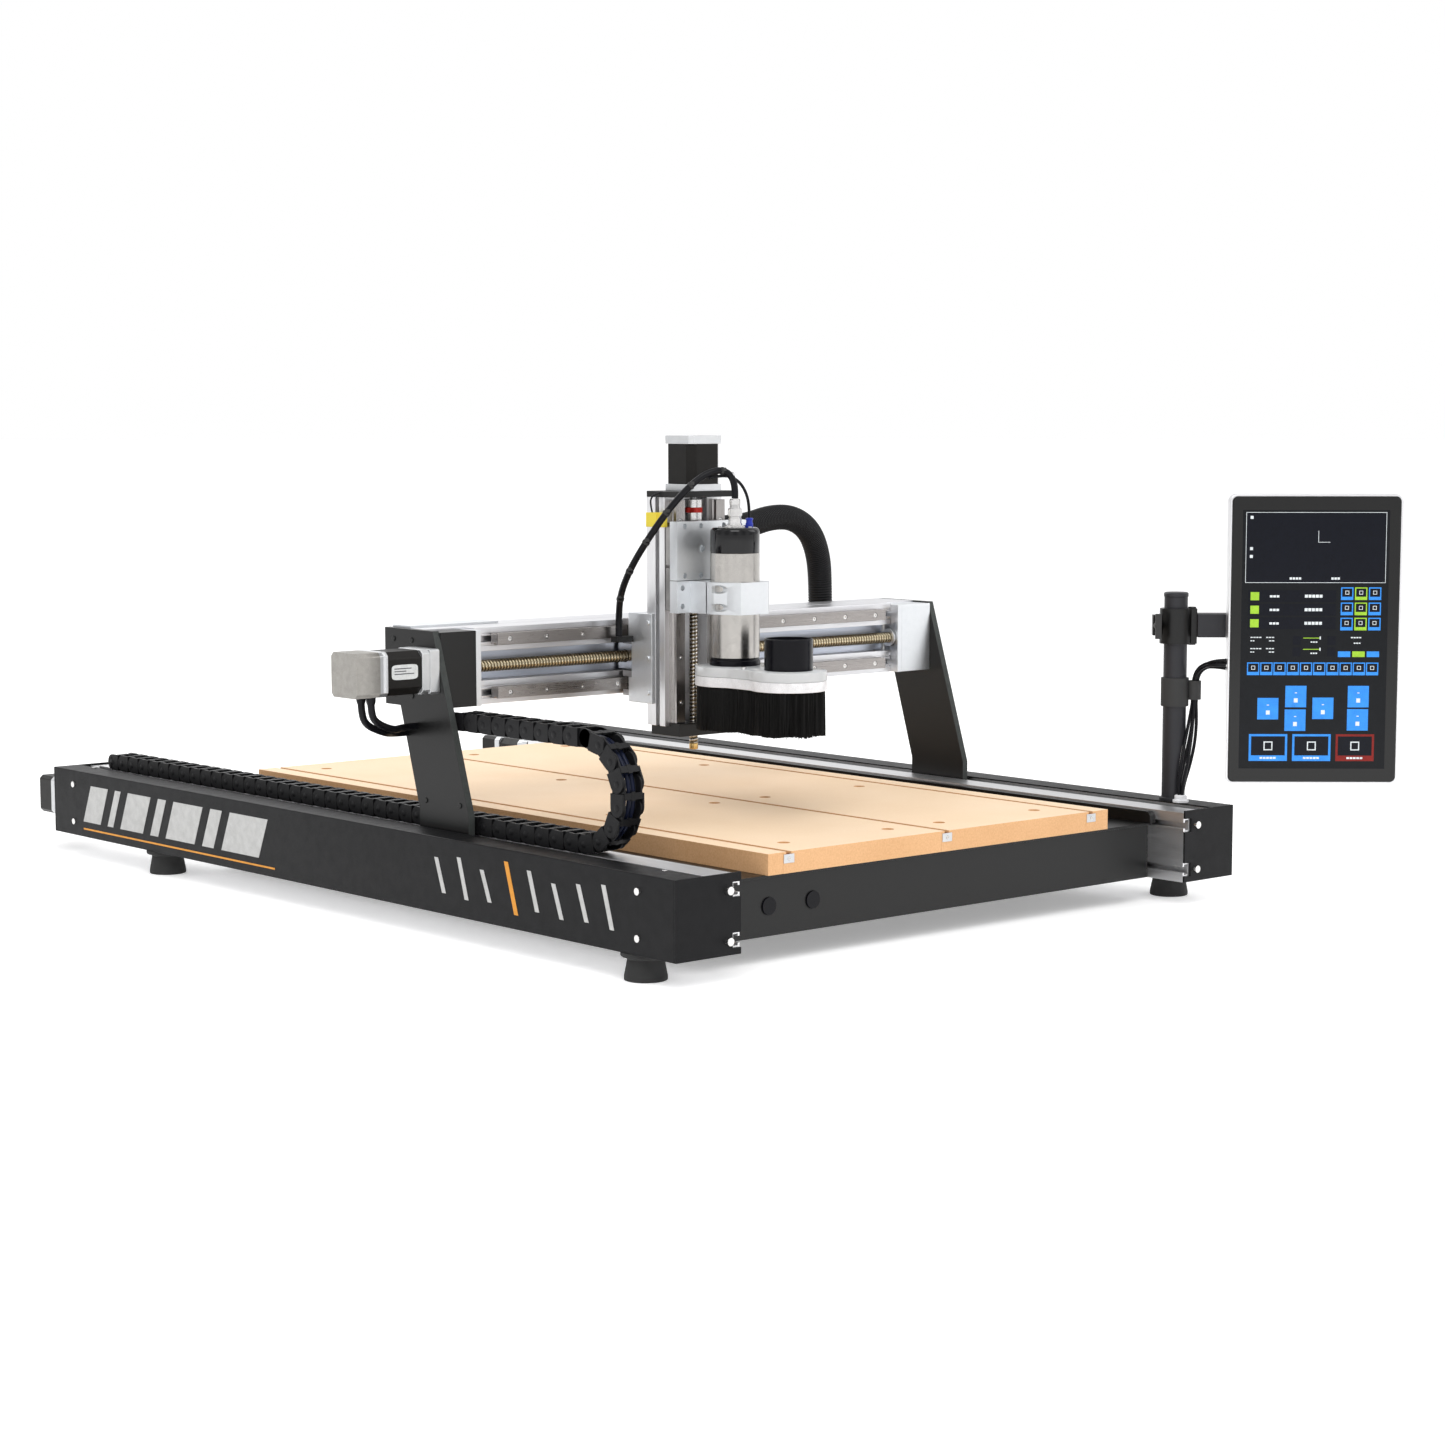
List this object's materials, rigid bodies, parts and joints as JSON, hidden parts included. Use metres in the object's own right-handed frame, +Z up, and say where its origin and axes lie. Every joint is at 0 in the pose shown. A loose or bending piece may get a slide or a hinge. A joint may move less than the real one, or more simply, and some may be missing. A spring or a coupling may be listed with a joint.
{
  "type": "cnc router",
  "caption": "Desktop gantry CNC router with twin side rails, moving beam and spindle column, dust shoe, cable chain and pole-mounted touch screen.",
  "frame": {"origin": "centre of the four foot bolt holes, at floor level", "axes": "+X across the machine to the side with the screen, +Y from the front to the motors at the back, +Z up"},
  "size_m": [1.251, 1.7284, 0.631],
  "materials": {
    "satin_aluminium": "clear anodised, satin",
    "black_sheet": "satin black powder coat",
    "black_plate": "black anodised plate",
    "ground_steel": "ground steel",
    "bearing_steel": "ground steel",
    "golden_screw": "rolled ball screw with a golden film of grease",
    "board": "fibreboard",
    "rubber": "matt black rubber",
    "black_motor": "black motor with silver flanges and a grey cap",
    "black_plastic": "moulded nylon",
    "black_tube": "satin black powder coat",
    "clear_plastic": "clear acrylic",
    "brush": "black bristles in a pale strip",
    "yellow_plastic": "moulded",
    "silver_tray": "satin anodised",
    "screen_front": "glossy screen with coloured controls"
  },
  "bodies": {
    "root": {"left_rail_extrusion": "satin_aluminium", "right_rail_extrusion": "satin_aluminium", "rail_covers": "black_sheet", "end_caps": "black_sheet", "crossbars": "black_sheet", "frame_screws": "bearing_steel", "bed_side_plates": "black_sheet", "bed_sheet": "black_sheet", "spoilboard": "board", "t_tracks": "satin_aluminium", "feet": "rubber", "y_linear_rails": "ground_steel", "y_screw_bearings": "black_sheet", "y_motors": "black_motor", "chain_anchor": "satin_aluminium", "chain_lower_run": "black_plastic", "monitor_pole": "black_tube", "cable_clip": "black_plastic", "monitor_cables": "rubber"},
    "gantry": {"left_leg": "black_plate", "right_leg": "black_plate", "y_bearing_blocks": "bearing_steel", "beam_extrusion": "satin_aluminium", "beam_end_covers": "black_sheet", "beam_end_plates": "satin_aluminium", "x_linear_rails": "ground_steel", "x_motor": "black_motor", "x_motor_cables": "rubber", "gantry_brackets": "black_sheet", "chain_upper_run": "black_plastic", "hose": "rubber"},
    "chain_bend": {"chain_loop": "black_plastic"},
    "left_screw": {"left_y_screw": "ground_steel"},
    "right_screw": {"right_y_screw": "ground_steel"},
    "x_screw": {"x_ball_screw": "golden_screw"},
    "z_screw": {"z_ball_screw": "ground_steel"},
    "x_carriage": {"x_carriage_plate": "black_plate", "x_bearing_blocks": "bearing_steel", "x_ball_nut": "black_plate", "z_column": "satin_aluminium", "z_linear_rails": "ground_steel", "z_end_plates": "black_plate", "z_motor": "black_motor", "limit_sensor": "yellow_plastic", "carriage_brackets": "black_sheet"},
    "z_carriage": {"z_plate": "black_plate", "z_bearing_blocks": "bearing_steel", "spindle_clamp": "black_plate", "spindle_body": "ground_steel", "spindle_cap": "black_plastic", "dust_shoe_plate": "clear_plastic", "brush_strip": "brush", "dust_port": "black_plastic", "spindle_cable": "rubber"},
    "spindle_rotor": {"collet": "ground_steel"},
    "screen_arm": {"pole_clamp": "black_plastic", "monitor_arm": "black_tube"},
    "knob": {"clamp_knob": "black_plastic"},
    "screen": {"screen_housing": "silver_tray", "screen_glass": "screen_front"}
  },
  "joints": [
    {"name": "gantry_travel", "type": "slide", "parent": "root", "child": "gantry", "axis": [0, 1, 0], "range_m": [-0.32, 0.79], "deforming": ["chain_lower_run", "chain_upper_run"]},
    {"name": "chain_travel", "type": "slide", "parent": "root", "child": "chain_bend", "axis": [0, 1, 0], "range_m": [-0.17, 0.4]},
    {"name": "left_screw_spin", "type": "hinge", "parent": "root", "child": "left_screw", "pos_m": [-0.424, 0.07, 0.075], "axis": [0, 1, 0], "continuous": true},
    {"name": "right_screw_spin", "type": "hinge", "parent": "root", "child": "right_screw", "pos_m": [0.424, 0.07, 0.075], "axis": [0, 1, 0], "continuous": true},
    {"name": "x_travel", "type": "slide", "parent": "gantry", "child": "x_carriage", "axis": [1, 0, 0], "range_m": [-0.215, 0.381], "deforming": ["hose"]},
    {"name": "x_screw_spin", "type": "hinge", "parent": "gantry", "child": "x_screw", "pos_m": [0, -0.083, 0.334], "axis": [1, 0, 0], "continuous": true},
    {"name": "z_travel", "type": "slide", "parent": "x_carriage", "child": "z_carriage", "axis": [0, 0, 1], "range_m": [-0.105, 0.026], "deforming": ["spindle_cable"]},
    {"name": "z_screw_spin", "type": "hinge", "parent": "x_carriage", "child": "z_screw", "pos_m": [-0.083, -0.178, 0.4], "axis": [0, 0, 1], "continuous": true},
    {"name": "spindle_spin", "type": "hinge", "parent": "z_carriage", "child": "spindle_rotor", "pos_m": [-0.083, -0.262, 0.341], "axis": [0, 0, 1], "continuous": true},
    {"name": "arm_swing", "type": "hinge", "parent": "root", "child": "screen_arm", "pos_m": [0.475, -0.541, 0.372], "axis": [0, 0, 1], "range_deg": [-45, 60], "deforming": ["monitor_cables"]},
    {"name": "knob_turn", "type": "hinge", "parent": "screen_arm", "child": "knob", "pos_m": [0.45509, -0.52276, 0.372], "axis": [0.6756, 0.7373, 0], "range_deg": [-90, 180]},
    {"name": "screen_tilt", "type": "hinge", "parent": "screen_arm", "child": "screen", "pos_m": [0.60771, -0.66261, 0.372], "axis": [0.7373, -0.6756, 0], "range_deg": [-20, 20]}
  ],
  "couplings": [
    {"joint": "chain_travel", "follows": "gantry_travel", "ratio": 0.5},
    {"joint": "left_screw_spin", "follows": "gantry_travel", "rad_per_m": -628.32},
    {"joint": "right_screw_spin", "follows": "gantry_travel", "rad_per_m": -628.32},
    {"joint": "x_screw_spin", "follows": "x_travel", "rad_per_m": -628.32},
    {"joint": "z_screw_spin", "follows": "z_travel", "rad_per_m": -1256.6}
  ]
}
